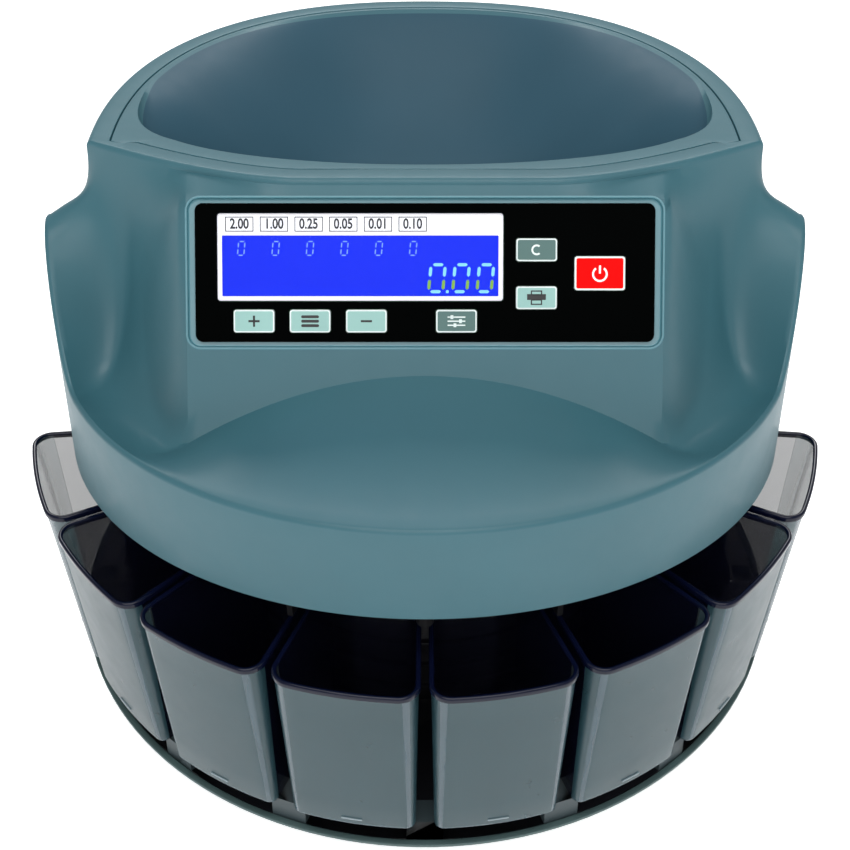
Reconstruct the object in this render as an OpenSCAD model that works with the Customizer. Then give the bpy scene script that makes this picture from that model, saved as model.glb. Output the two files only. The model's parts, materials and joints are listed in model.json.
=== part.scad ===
// Electronic coin sorting machine: a round base with eight pull-out coin cups,
// a sorting deck above them and a hopper housing with a slanted control panel.
// Millimetres, +Z up, the control panel faces -Y, the feet stand on Z = 0.

/* [Base] */
// Outer radius of the base tray
base_r = 165; // [160:0.5:168]
// Distance from the machine axis to the flat rear edge of the base tray
base_rear = 155; // [150:0.5:158]
// Height of the rubber feet
foot_h = 3; // [2:0.5:3]
// Top of the platform that carries the cups
platform_z = 18; // [16:0.5:19]
// Radius of the platform
platform_r = 150; // [148:0.5:151]

/* [Cups] */
// Number of coin cups
cups = 8; // [6:1:8]
// Angle from one cup to the next
cup_pitch = 21.2; // [20.8:0.1:21.4]
// Outer radius of the cup rims about the machine axis
cup_rim_r = 177.5; // [174:0.5:180]
// Outer radius of the cup fronts at the floor
cup_floor_r = 166.5; // [162:0.5:169]
// Inner radius of the cups
cup_inner_r = 97; // [96:0.5:100]
// Height of the cup rims
cup_rim_z = 112; // [100:0.5:112]
// Wall of the cups
cup_wall = 2; // [1.6:0.1:2.4]

/* [Housing] */
// Radius of the round skirt of the upper housing
drum_r = 158.5; // [157:0.5:160]
// Wall of the upper housing
shell = 2.6; // [2.2:0.1:3]
// Half width of the hopper tower
tower_half = 138.5; // [137:0.5:139.5]
// Half width of the flat facet
facet_half = 94; // [92:0.5:96]
// Angle of the facet from horizontal
facet_angle = 55; // [53:0.5:57]
// Height of the top face on the machine axis
top_z = 252.6; // [251:0.5:254]

/* [Panel] */
// Width of the control panel
panel_w = 181; // [178:1:182]
// Height of the control panel along the facet
panel_h = 54.5; // [53:0.5:55]
// Travel of the keys
key_travel = 0.8; // [0.5:0.1:1]

/* [Drive] */
// Radius of the feed disc in the hopper
feed_r = 49; // [46:0.5:49.5]
// Radius of the sorter rotor with its pads
rotor_r = 146; // [145:0.5:146]
// Distance from the spindle to the motor
motor_offset = 55; // [54:0.5:56]
// Radius of the pulley on the spindle
spindle_pulley_r = 30; // [26:1:30]
// Radius of the pulley on the motor
motor_pulley_r = 10; // [8:1:12]

/* [Hidden] */
$fn = 96;
axis_y = (cup_rim_r - drum_r) / 2;

// Colours
blue_grey = [0.32, 0.46, 0.51];
smoke = [0.25, 0.28, 0.32, 0.7];
black = [0.06, 0.06, 0.07];
steel = [0.7, 0.71, 0.73];
board_green = [0.1, 0.35, 0.2];

// Base levels
tray_floor = 2.5;
tray_z = foot_h;
rim_w = 3;
rim_h = 3.5;
post_w = 15.6;
post_gap = 0.4;
moat_floor = 0.8;
cup_draft = 1.6;
column_r = 92;
column_wall = 3;
column_top = 116;
chute_z = 118;
chute_wall_r = 110;
deck_z = 138;
deck_t = 4;
deck_r = 153.3;
foot_r = 9;
foot_pcd_r = 132;
screw_r = 1.4;
screw_hole_r = 1.7;
screw_head_r = 2.8;
base_screw_r = 80;

// Rear housing
rear_r = platform_r - 1;
rear_front_y = 10;
rear_flat_y = 140;
rear_wall = 2.5;
rear_top = deck_z - 0.5;
panel_opening = [100, 66];
rear_panel_z = 56;

// Spindle and drive
shaft_r = 4;
run_gap = 0.05;
seat_gap = 0.02;
bearing_r = 11;
bearing_w = 7;
plate_z = 90;
plate_t = 3;
pulley_z = 98;
pulley_h = 9;
belt_t = 1.6;
belt_gap = 0.4;
rotor_z = 143;
feed_z = 186;
feed_t = 3;

function smooth(a, b, v) = let(t = min(1, max(0, (v - a) / (b - a)))) t * t * (3 - 2 * t);
function mix(a, b, t) = a + (b - a) * t;
function unit(v) = v / norm(v);

// Puts the machine axis where the overall box is centred on the origin
module place() {
    translate([0, axis_y, 0]) children();
}

// Turns a child that points to the front (-Y) to azimuth a, positive towards +X
module at_azimuth(a) {
    rotate([0, 0, a]) children();
}

module tube(r_out, r_in, h) {
    difference() {
        cylinder(r = r_out, h = h);
        translate([0, 0, -1]) cylinder(r = r_in, h = h + 2);
    }
}

module rounded_rect(w, h, r) {
    square([w - 2 * r, h], center = true);
    square([w, h - 2 * r], center = true);
    for (x = [-1, 1])
        for (y = [-1, 1])
            translate([x * (w / 2 - r), y * (h / 2 - r)]) circle(r = r, $fn = 32);
}

module rounded_plate(w, h, r, t) {
    linear_extrude(t) rounded_rect(w, h, r);
}

// ---------------------------------------------------------------- base

module behind_rear_edge(y, z_low, z_high) {
    translate([-base_r - 5, y, z_low]) cube([2 * base_r + 10, 40, z_high - z_low]);
}

module base_screw_places() {
    for (a = [45:90:315]) at_azimuth(a) translate([0, -base_screw_r, 0]) children();
}

module base_tray() {
    color(blue_grey) place() difference() {
        translate([0, 0, tray_z]) rotate_extrude() polygon([
            [0, 0], [base_r - 2, 0], [base_r, 2], [base_r, rim_h], [base_r - rim_w, rim_h],
            [base_r - rim_w, tray_floor], [0, tray_floor]
        ]);
        behind_rear_edge(base_rear, 0, 20);
        base_screw_places() translate([0, 0, tray_z - 1]) {
            cylinder(r = screw_hole_r, h = 10);
            cylinder(r = screw_head_r + 0.2, h = 2.4);
        }
    }
}

module cup_platform() {
    floor_z = tray_z + tray_floor;
    h = platform_z - floor_z;
    outer = base_r - rim_w - post_gap;
    color(black) place() difference() {
        union() {
            translate([0, 0, floor_z]) rotate_extrude() polygon([
                [column_r + 1, h - 2.5], [platform_r - 2.5, h - 2.5], [platform_r - 2.5, 0], [outer, 0],
                [outer, moat_floor], [platform_r, moat_floor], [platform_r, h], [column_r + 1, h]
            ]);
            for (k = [-cups / 2:cups / 2]) at_azimuth(k * cup_pitch)
                translate([-post_w / 2, -outer, floor_z]) cube([post_w, outer - platform_r + 1, h - 0.2]);
        }
        behind_rear_edge(base_rear - rim_w, 0, 30);
    }
}

module rubber_feet() {
    color(black) place() for (a = [45:90:315]) at_azimuth(a) translate([0, -foot_pcd_r, 0])
        cylinder(r1 = foot_r - 1, r2 = foot_r, h = foot_h);
}

module base_screws() {
    color(steel) place() base_screw_places() {
        translate([0, 0, tray_z + 0.2]) cylinder(r = screw_head_r, h = 1.2, $fn = 32);
        translate([0, 0, tray_z + 1.4]) cylinder(r = screw_r, h = 14, $fn = 32);
    }
}

module inner_column() {
    floor_z = tray_z + tray_floor;
    rib_step = 14;
    color(black) place() {
        translate([0, 0, floor_z]) tube(column_r, column_r - column_wall, column_top - floor_z);
        translate([0, 0, column_top - 3]) tube(column_r + 3, column_r - column_wall, 3);
        for (z = [floor_z + rib_step + 6:rib_step:column_top - 8])
            translate([0, 0, z]) tube(column_r + 2, column_r - 1, 2);
        translate([0, 0, plate_z - 4]) tube(column_r - 1, column_r - 8, 4);
        base_screw_places() translate([0, 0, floor_z]) tube(4.5, screw_r + 0.1, 24);
        for (a = [45:90:315]) at_azimuth(a)
            translate([-1.5, -column_r + 1, floor_z]) cube([3, column_r - base_screw_r - 5, 24]);
    }
}

// ---------------------------------------------------------------- cups

function cup_azimuth(i) = (i - (cups + 1) / 2) * cup_pitch;

// Wedge between two neighbouring cup gaps; gap is the distance kept from each gap line
module cup_wedge(gap) {
    draft = atan(cup_draft / (cup_rim_z - platform_z));
    reach = cup_rim_r + 20;
    intersection_for (s = [0, 1])
        mirror([s, 0, 0]) at_azimuth(cup_pitch / 2)
            translate([-gap, 0, cup_rim_z]) rotate([0, draft, 0])
                translate([-150, -reach, -150]) cube([150, reach, 200]);
}

module cup_ring(front_floor, front_rim, inner, z_low, z_high) {
    rotate_extrude() polygon([
        [inner, z_low], [front_floor, z_low], [front_rim, z_high], [inner, z_high]
    ]);
}

module coin_cup(i) {
    floor_z = platform_z + 0.3;
    lip_h = 3;
    lip_out = 0.8;
    half_gap = 1.5;
    slope = (cup_rim_r - lip_out - cup_floor_r) / (cup_rim_z - floor_z);
    cavity_z = floor_z + cup_wall;
    cavity_top = cup_rim_z + 1;
    color(smoke) place() at_azimuth(cup_azimuth(i)) difference() {
        union() {
            intersection() {
                cup_ring(cup_floor_r, cup_rim_r - lip_out, cup_inner_r + lip_out, floor_z, cup_rim_z);
                cup_wedge(half_gap + lip_out);
            }
            intersection() {
                cup_ring(cup_rim_r - 0.5, cup_rim_r, cup_inner_r, cup_rim_z - lip_h, cup_rim_z);
                cup_wedge(half_gap);
            }
        }
        intersection() {
            cup_ring(
                cup_floor_r - cup_wall + slope * cup_wall, cup_rim_r - lip_out - cup_wall + slope,
                cup_inner_r + lip_out + cup_wall, cavity_z, cavity_top
            );
            cup_wedge(half_gap + lip_out + cup_wall);
        }
    }
}

// ---------------------------------------------------------------- rear

// Half-round prism behind the cups
module rear_block(inset, z_low, z_high) {
    y_low = rear_front_y + inset;
    intersection() {
        translate([0, 0, z_low]) cylinder(r = rear_r - inset, h = z_high - z_low);
        translate([-rear_r, y_low, z_low]) cube([2 * rear_r, rear_flat_y - inset - y_low, z_high - z_low]);
    }
}

module housing_screw_places() {
    for (a = [120, 155, 205, 240]) at_azimuth(a) translate([0, -drum_r, 98]) rotate([-90, 0, 0]) children();
}

module rear_housing() {
    color(blue_grey) place() difference() {
        rear_block(0, platform_z, rear_top);
        rear_block(rear_wall, platform_z - 1, rear_top + 1);
        translate([0, 0, platform_z - 1]) cylinder(r = column_r + 3.3, h = rear_top);
        translate([0, 0, column_top - 0.3]) cylinder(r = chute_wall_r + 0.3, h = rear_top);
        translate([-panel_opening[0] / 2, rear_flat_y - 10, rear_panel_z - panel_opening[1] / 2])
            cube([panel_opening[0], 20, panel_opening[1]]);
        housing_screw_places() cylinder(r = screw_hole_r, h = 20);
    }
}

module rear_cutout(x, w, h) {
    translate([x - w / 2, rear_flat_y - 10, rear_panel_z - h / 2]) cube([w, 20, h]);
}

inlet_x = -26;
inlet_size = [28, 48];
switch_x = 8;
switch_size = [14, 20];
port_x = 34;
port_size = [17, 12];

module rear_panel() {
    color(black) place() difference() {
        translate([
            -panel_opening[0] / 2 + 0.2, rear_flat_y - rear_wall, rear_panel_z - panel_opening[1] / 2 + 0.2
        ]) cube([panel_opening[0] - 0.4, rear_wall - 0.5, panel_opening[1] - 0.4]);
        rear_cutout(inlet_x, inlet_size[0], inlet_size[1]);
        rear_cutout(switch_x, switch_size[0], switch_size[1]);
        rear_cutout(port_x, port_size[0], port_size[1]);
    }
}

// Body behind a rear cutout, with a flange on the outside
module rear_fitting(x, size, depth, flange) {
    translate([x - size[0] / 2 + 0.2, rear_flat_y - depth, rear_panel_z - size[1] / 2 + 0.2])
        cube([size[0] - 0.4, depth, size[1] - 0.4]);
    translate([x - size[0] / 2 - flange, rear_flat_y - 0.5, rear_panel_z - size[1] / 2 - flange])
        cube([size[0] + 2 * flange, 2, size[1] + 2 * flange]);
}

module power_inlet() {
    socket = [22, 16];
    socket_z = rear_panel_z - 12;
    fuse_z = rear_panel_z + 15;
    color(black) place() {
        difference() {
            rear_fitting(inlet_x, inlet_size, 24, 2);
            translate([inlet_x - socket[0] / 2, rear_flat_y - 17, socket_z - socket[1] / 2])
                cube([socket[0], 30, socket[1]]);
            translate([inlet_x - 10, rear_flat_y - 3, fuse_z - 5]) cube([20, 10, 10]);
        }
        translate([inlet_x - 9, rear_flat_y - 3, fuse_z - 4]) cube([18, 3.5, 8]);
        for (x = [-6, 0, 6]) translate([inlet_x + x - 1, rear_flat_y - 17, socket_z - 3 + (x == 0 ? 2 : -1)])
            cube([2, 13, 4]);
    }
}

rocker_w = 10.8;
rocker_room = 9;
rocker_pivot_y = rear_flat_y - 4;
rocker_pin_r = 1.5;
rocker_tilt = 10;

module switch_frame() {
    color(black) place() difference() {
        rear_fitting(switch_x, switch_size, 18, 1.5);
        translate([switch_x - rocker_w / 2 - 0.4, rear_flat_y - 14, rear_panel_z - rocker_room])
            cube([rocker_w + 0.8, 30, 2 * rocker_room]);
        rocker_pivot(switch_size[0], rocker_pin_r + run_gap);
    }
}

// Round pin across the switch, on the rocker's axis
module rocker_pivot(length, r) {
    translate([switch_x - length / 2, rocker_pivot_y, rear_panel_z]) rotate([0, 90, 0])
        cylinder(r = r, h = length, $fn = 32);
}

// Rocker with a shallow V face; it tilts about its pivot, which lies behind the panel face
module power_switch() {
    profile = [[3.2, 0], [5.6, 7.4], [1, 7.8], [-4, 4], [-4, -4], [1, -7.8], [5.6, -7.4]];
    color([0.7, 0.1, 0.1]) place() {
        translate([switch_x - rocker_w / 2, rocker_pivot_y, rear_panel_z])
            rotate([90, 0, 90]) linear_extrude(rocker_w) rotate(-rocker_tilt) polygon(profile);
        rocker_pivot(rocker_w + 1.6, rocker_pin_r);
    }
}

module printer_port() {
    color(steel) place() difference() {
        rear_fitting(port_x, port_size, 12, 1.5);
        translate([port_x - 6.5, rear_flat_y - 9, rear_panel_z - 4]) cube([13, 20, 8]);
    }
}

// ---------------------------------------------------------------- drive

module drive_plate() {
    color(steel) place() difference() {
        translate([0, 0, plate_z]) cylinder(r = column_r - column_wall - 0.3, h = plate_t);
        translate([0, 0, plate_z - 1]) cylinder(r = 15.1, h = plate_t + 2);
        translate([0, motor_offset, plate_z - 1]) cylinder(r = 7.1, h = plate_t + 2);
    }
}

module bearing_housing() {
    color(steel) place() difference() {
        union() {
            translate([0, 0, plate_z - 14]) cylinder(r = 15, h = 16);
            translate([0, 0, plate_z + plate_t]) cylinder(r = 22, h = 3);
            translate([0, 0, plate_z + 1]) cylinder(r = 15, h = 3);
        }
        translate([0, 0, plate_z - 12]) cylinder(r = bearing_r + seat_gap, h = 30);
        translate([0, 0, plate_z - 20]) cylinder(r = 8, h = 30);
    }
}

module spindle_bearings() {
    color(steel) place() for (z = [plate_z - 12, deck_z + 0.5])
        translate([0, 0, z]) tube(bearing_r, shaft_r + run_gap, bearing_w);
}

module spindle() {
    color(steel) place() translate([0, 0, plate_z - 16]) cylinder(r = shaft_r, h = feed_z + 12 - plate_z + 16);
}

module pulley(r, bore) {
    difference() {
        union() {
            cylinder(r = r, h = pulley_h);
            for (z = [0, pulley_h - 1]) translate([0, 0, z]) cylinder(r = r + 2.5, h = 1);
        }
        translate([0, 0, -1]) cylinder(r = bore, h = pulley_h + 2);
    }
}

module spindle_pulley() {
    color(black) place() translate([0, 0, pulley_z]) pulley(spindle_pulley_r, shaft_r + seat_gap);
}

module motor() {
    motor_r = 18.5;
    color(steel) place() translate([0, motor_offset, 0]) difference() {
        union() {
            translate([0, 0, plate_z - 58]) cylinder(r = motor_r, h = 57.8);
            translate([0, 0, plate_z - 1]) cylinder(r = 7, h = plate_t);
        }
        translate([0, 0, plate_z - 12]) cylinder(r = 2.5 + run_gap, h = 30);
    }
}

module motor_shaft() {
    color(steel) place() translate([0, motor_offset, plate_z - 11.5]) cylinder(r = 2.5, h = 30);
}

module motor_pulley() {
    color(black) place() translate([0, motor_offset, pulley_z]) pulley(motor_pulley_r, 2.5 + seat_gap);
}

// Flat belt around both pulleys: an arc round each, joined by their common tangents
function arc(y, r, from, to) = [for (i = [0:32]) let(a = mix(from, to, i / 32)) [r * cos(a), y + r * sin(a)]];

module belt_outline(grow) {
    lean = asin((spindle_pulley_r - motor_pulley_r) / motor_offset);
    polygon(concat(
        arc(motor_offset, motor_pulley_r + grow, lean, 180 - lean),
        arc(0, spindle_pulley_r + grow, 180 - lean, 360 + lean)
    ));
}

module drive_belt() {
    color(black) place() translate([0, 0, pulley_z + 1.5]) linear_extrude(pulley_h - 3) difference() {
        belt_outline(belt_gap + belt_t);
        belt_outline(belt_gap);
    }
}

// ---------------------------------------------------------------- sorting

function gap_azimuths() = [for (k = [-cups / 2:cups / 2]) k * cup_pitch];

module deck_screw_places() {
    for (k = [-cups / 2:2:cups / 2]) at_azimuth(k * cup_pitch) translate([0, -deck_r + 4.2, 0]) children();
}

module coin_chutes() {
    color(black) place() difference() {
        union() {
            translate([0, 0, chute_z]) tube(chute_wall_r, chute_wall_r - 3, deck_z - chute_z);
            translate([0, 0, column_top]) tube(chute_wall_r, column_r - column_wall, chute_z - column_top);
            for (a = gap_azimuths()) at_azimuth(a)
                translate([-1.2, -deck_r + 5, chute_z]) cube([2.4, deck_r - 5 - chute_wall_r + 1, deck_z - chute_z]);
            deck_screw_places() translate([0, 0, deck_z - 12]) cylinder(r = 3.4, h = 12, $fn = 32);
        }
        deck_screw_places() translate([0, 0, deck_z - 10]) cylinder(r = screw_r + 0.1, h = 12, $fn = 32);
    }
}

// Slots grow from the smallest coin to the largest
function slot_w(i) = 17 + 1.4 * i;

module sorting_deck() {
    slot_out = 146;
    color(steel) place() difference() {
        union() {
            translate([0, 0, deck_z]) cylinder(r = deck_r, h = deck_t);
            translate([0, 0, deck_z - 2]) cylinder(r = 16, h = 9);
        }
        for (i = [1:cups]) at_azimuth(cup_azimuth(i))
            translate([-14, -slot_out, deck_z - 1]) cube([28, slot_w(i), deck_t + 2]);
        translate([0, 0, deck_z + 0.5]) cylinder(r = bearing_r + seat_gap, h = 20);
        translate([0, 0, deck_z - 5]) cylinder(r = 8, h = 20);
        deck_screw_places() translate([0, 0, deck_z - 1]) cylinder(r = screw_hole_r, h = 10, $fn = 32);
    }
}

module coin_sensors() {
    color(black) place() for (i = [1:cups]) at_azimuth(cup_azimuth(i))
        translate([-4, -deck_r + 0.5, deck_z + deck_t]) cube([8, 4, 8]);
}

module deck_screws() {
    color(steel) place() deck_screw_places() {
        translate([0, 0, deck_z + deck_t]) cylinder(r = screw_head_r - 0.2, h = 1.6, $fn = 32);
        translate([0, 0, deck_z - 8]) cylinder(r = screw_r, h = 8 + deck_t, $fn = 32);
    }
}

module sorter_rotor() {
    color(steel) place() difference() {
        union() {
            translate([0, 0, rotor_z + 3]) cylinder(r = rotor_r - 33, h = 3);
            translate([0, 0, rotor_z + 3]) cylinder(r = 20, h = 12);
        }
        translate([0, 0, rotor_z]) cylinder(r = shaft_r + seat_gap, h = 20);
        for (a = [0:60:300]) at_azimuth(a) translate([0, -66, rotor_z]) cylinder(r = 18, h = 10);
    }
}

module rotor_pads() {
    pads = 12;
    color([0.35, 0.2, 0.12]) place() for (p = [0:pads - 1]) at_azimuth(p * 360 / pads + 15)
        translate([-3, -rotor_r, rotor_z]) cube([6, 38, 3]);
}

module feed_disc() {
    color([0.75, 0.76, 0.78]) place() difference() {
        union() {
            translate([0, 0, feed_z]) cylinder(r = feed_r, h = feed_t);
            for (a = [0:45:315]) at_azimuth(a) translate([0, -36, feed_z + feed_t - 0.5])
                cylinder(r1 = 4, r2 = 3, h = 2.2, $fn = 32);
            translate([0, 0, feed_z - 8]) cylinder(r = 10, h = 8);
        }
        translate([0, 0, feed_z - 9]) cylinder(r = shaft_r + seat_gap, h = 20);
    }
}

module disc_nut() {
    color(black) place() translate([0, 0, feed_z + feed_t]) difference() {
        rotate_extrude() polygon([[0, 0], [11, 0], [11, 4], [8, 10.5], [0, 10.5]]);
        translate([0, 0, -1]) cylinder(r = shaft_r + seat_gap, h = 10.2);
    }
}

// ---------------------------------------------------------------- upper housing

lip_round = 2;
edge_round = 2.5;
rim_width = 9.6;
front_depth = 36;
front_flat = 50;
front_power = 1.6;
rear_power = 2.3;
top_slope = 0.105;
skirt_slope = 0.167;
lip_slope = 0.14;
lip_z = 160;
wing_rise = 60;
wing_start = 66;
wing_peak = 88;
wing_fall = 55;
facet_y = -56.35;
facet_z = 226.3;
facet_top_z = 250;

function skirt_low(y) = 110.3 - skirt_slope * y;
function top_at(y) = top_z - top_slope * y;
function facet_at(z) = facet_y + (z - facet_z) / tan(facet_angle);

// Height of the skirt's lip at an azimuth from the front, 0 to 180
function lip_at(a) = let(fall = min(1, max(0, (a - wing_peak) / wing_fall)))
    lip_z + lip_slope * drum_r * cos(a) + wing_rise * smooth(wing_start, wing_peak, a) * pow(1 - fall, 1.2);

// Front edge of the tower seen from above, from the middle to the side
function front_y(x) = -front_depth
    + front_depth * pow(max(0, x - front_flat) / (tower_half - front_flat), front_power);
function front_dir(x) = let(m = front_depth * front_power / (tower_half - front_flat)
    * pow(max(0, x - front_flat) / (tower_half - front_flat), front_power - 1)) unit([m, -1]);

// Side and rear of the tower seen from above
function rear_radius(a) = 1 / pow(
    pow(abs(sin(a)) / tower_half, rear_power) + pow(abs(cos(a)) / (drum_r - 0.5), rear_power), 1 / rear_power);

// Columns of the shell: [azimuth of the lip, tower point, outward direction, part, share]
facet_cols = 8;
corner_cols = 13;
side_cols = 18;
corner_azimuth = asin(facet_half / drum_r);
columns = concat(
    [for (i = [0:facet_cols]) let(x = facet_half * i / facet_cols)
        [asin(x / drum_r), [x, front_y(x)], front_dir(x), 0, x]],
    [for (i = [1:corner_cols]) let(
        s = i / corner_cols,
        x = mix(facet_half, tower_half, s),
        d = unit(mix(front_dir(x), [1, 0], smooth(0.55, 1, s))))
        [mix(corner_azimuth, 90, s), [x, front_y(x)], d, 1, s]],
    [for (i = [1:side_cols]) let(a = 90 + 90 * i / side_cols, r = rear_radius(a))
        [a, [r * sin(a), -r * cos(a)], [sin(a), -cos(a)], 2, a]]
);

function lip_point(c, w) = let(r = drum_r - w, x = c[3] == 0 ? c[4] : r * sin(c[0]))
    [x, c[3] == 0 ? -sqrt(r * r - x * x) : -r * cos(c[0])];
function tower_point(c, w) = c[1] - w * c[2];

// Height at which the facet meets the dished shelf
function facet_foot(x) = 193 - 21 * pow(x / 92, 2);

steps = 8;
function bezier(a, b, c, d, t) = pow(1 - t, 3) * a + 3 * pow(1 - t, 2) * t * b + 3 * (1 - t) * t * t * c + t * t * t * d;

// Point k = 1 .. steps - 1 on the way from the lip up to the tower's edge
function facet_profile(c, k, w) = let(
    x = c[4],
    l = lip_point(c, w + lip_round),
    lz = lip_at(c[0]) - w,
    set_in = w / sin(facet_angle),
    fz = facet_foot(x) - w,
    fy = facet_at(fz) + set_in,
    t = k / 3)
    k < 3
    ? [x, mix(l[1], fy, t), fz + (lz - fz) * (1 - pow(t, 1.8))]
    : let(z = mix(fz, facet_top_z - w, (k - 3) / (steps - 4))) [x, facet_at(z) + set_in, z];

// Height of the shelf and the facet along the facet's side edge
function facet_height(y, w) = let(
    c = columns[facet_cols],
    l = lip_point(c, w + lip_round),
    fz = facet_foot(facet_half) - w,
    fy = facet_at(fz) + w / sin(facet_angle))
    y < fy
    ? fz + (lip_at(c[0]) - w - fz) * (1 - pow(max(0, (y - l[1]) / (fy - l[1])), 1.8))
    : min(facet_top_z - w, fz + (y - fy) * tan(facet_angle));

// Sweep beside and behind the facet; near the facet its height runs into the facet's own
function corner_profile(c, k, w) = let(
    s = c[3] == 1 ? c[4] : 1,
    l = lip_point(c, w + lip_round),
    q = tower_point(c, w),
    gap = norm(l - q),
    inward = unit(mix([0, 1], -unit(l), s)),
    reach = c[3] == 1 ? mix(0.5 * gap, 0.55 * gap, s) : 0.55 * gap,
    rise = c[3] == 1 ? -28 + 38 * s * s : gap / 2,
    p0 = [l[0], l[1], lip_at(c[0]) - w],
    p1 = [l[0] + inward[0] * reach, l[1] + inward[1] * reach, p0[2] + rise],
    p3 = [q[0], q[1], top_at(q[1]) - edge_round],
    p2 = p3 + [4 * (1 - s), -28.6 * (1 - s), mix(-40, p0[2] + 0.3 * gap - p3[2], s)],
    p = bezier(p0, p1, p2, p3, k / steps))
    [p[0], p[1], mix(facet_height(p[1], w), p[2], min(1, s / 0.3))];

function shell_point(c, k, w) =
    k == 0 ? let(l = lip_point(c, w)) [l[0], l[1], skirt_low(l[1])]
    : k == 1 ? let(l = lip_point(c, w)) [l[0], l[1], lip_at(c[0]) - w - lip_round]
    : k == 2 ? let(l = lip_point(c, w + lip_round)) [l[0], l[1], lip_at(c[0]) - w]
    : k < steps + 2 ? (c[3] == 0 ? facet_profile(c, k - 2, w) : corner_profile(c, k - 2, w))
    : let(q = tower_point(c, w + (k == steps + 2 ? 0 : edge_round)))
        [q[0], q[1], top_at(q[1]) - (k == steps + 2 ? edge_round : 0)];

// Inner skin from the top rim down to the lower edge
function inner_point(c, k) =
    k == steps + 3 ? let(q = tower_point(c, rim_width)) [q[0], q[1], top_at(q[1])]
    : k == steps + 2 ? let(q = tower_point(c, rim_width)) [q[0], q[1], top_at(q[1]) - 5]
    : k == steps + 1 ? let(q = tower_point(c, shell + 2)) [q[0], q[1], top_at(q[1]) - 9]
    : shell_point(c, k, shell);

function mirrored(p) = [-p[0], p[1], p[2]];
last_col = len(columns) - 1;
function around(ring) = concat(ring, [for (i = [last_col - 1:-1:1]) mirrored(ring[i])]);
outer_rings = [for (k = [0:steps + 3]) around([for (c = columns) shell_point(c, k, 0)])];
inner_rings = [for (k = [steps + 3:-1:0]) around([for (c = columns) inner_point(c, k)])];

// Closed skin through a list of equal rings; joins the last ring to the first
module ring_solid(rings) {
    m = len(rings);
    n = len(rings[0]);
    points = [for (r = rings) each r];
    faces = [for (i = [0:m - 1]) for (j = [0:n - 1])
        let(a = i * n + j, b = i * n + (j + 1) % n, c = ((i + 1) % m) * n + (j + 1) % n, d = ((i + 1) % m) * n + j)
        each [[a, c, b], [a, d, c]]];
    polyhedron(points, faces, convexity = 8);
}

module on_facet() {
    translate([0, facet_y, facet_z]) rotate([facet_angle, 0, 0]) children();
}

recess_depth = 1.2;
recess_size = [187, 58.6];
window_size = [174, 50];

module upper_housing() {
    color(blue_grey) place() difference() {
        ring_solid(concat(outer_rings, inner_rings));
        on_facet() {
            translate([0, 0, -recess_depth]) rounded_plate(recess_size[0], recess_size[1], 5, 8);
            translate([0, 0, -10]) rounded_plate(window_size[0], window_size[1], 2, 20);
        }
        housing_screw_places() translate([0, 0, -5]) cylinder(r = screw_hole_r, h = 12, $fn = 24);
    }
}

module housing_screws() {
    color(steel) place() housing_screw_places() {
        translate([0, 0, -1.9]) cylinder(r = screw_head_r, h = 1.8, $fn = 32);
        translate([0, 0, -0.5]) cylinder(r = screw_r, h = 16, $fn = 32);
    }
}

// ---------------------------------------------------------------- hopper bowl

bowl_centre = [0, 28];
bowl_low = 187;
gate_rise = 7;
bowl_hole_r = 51;
bowl_front = -17;
bowl_wall = 2.4;
bowl_grow = 1;
bowl_rings = 9;
flange_gap = 0.5;

// Outline of the bowl's floor hole along a ray from the bowl centre: a circle cut off at the front
function floor_reach(d) = let(
    b = bowl_centre * d,
    r = -b + sqrt(b * b - bowl_centre * bowl_centre + bowl_hole_r * bowl_hole_r))
    d[1] < 0 ? min(r, (bowl_front - bowl_centre[1]) / d[1]) : r;

// Height of the floor: the front wall stays clear of the disc that turns beneath it
function floor_height(d) = bowl_low
    + gate_rise * smooth(bowl_front + 9, bowl_front + 2.5, bowl_centre[1] + d[1] * floor_reach(d));

// Column of the flange: a point just inside the housing's rim
flange_columns = around([for (c = columns) let(q = tower_point(c, rim_width + flange_gap)) [q[0], q[1], 0]]);

// Outline of the bowl's mouth: a rounded front edge that opens out to the flange at the sides and behind
function mouth_reach(d, edge) = let(
    half = 116,
    depth = bowl_centre[1] + 20,
    front = 1 / pow(pow(abs(d[0]) / half, 2.2) + pow(abs(d[1]) / depth, 2.2), 1 / 2.2))
    mix(min(front, edge - 4), edge - 1.5, smooth(-0.3, 0.3, d[1]));

// Share of the bowl's depth reached at a share of the way out: steep in front, soft at the sides
function bowl_rise(t, d) = mix(
    1 - pow(1 - pow(t, 2.2), 0.6),
    1 - pow(1 - pow(t, 1.8), mix(1.9, 1.1, smooth(0.5, 1, d[1]))),
    smooth(-0.3, 0.3, d[1]));

function bowl_ring(t, grow, drop) = [for (f = flange_columns) let(
    q = [f[0], f[1]],
    d = unit(q - bowl_centre),
    r = mix(floor_reach(d), mouth_reach(d, norm(q - bowl_centre)), t) + grow,
    p = bowl_centre + d * r)
    [p[0], p[1], mix(floor_height(d), top_at(p[1]) - 0.5, bowl_rise(t, d)) - drop]];
function flange_ring(drop) = [for (f = flange_columns) [f[0], f[1], top_at(f[1]) - drop]];

module hopper_bowl() {
    upper = [for (i = [0:bowl_rings]) bowl_ring(i / bowl_rings, 0, 0)];
    lower = [for (i = [bowl_rings:-1:0]) let(t = i / bowl_rings)
        bowl_ring(t, bowl_grow * pow(t, 1.5), mix(bowl_wall, bowl_wall + 1.5, t))];
    color(blue_grey) place()
        ring_solid(concat(upper, [flange_ring(0.1), flange_ring(bowl_wall + 1)], lower));
}

// ---------------------------------------------------------------- panel

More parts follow.
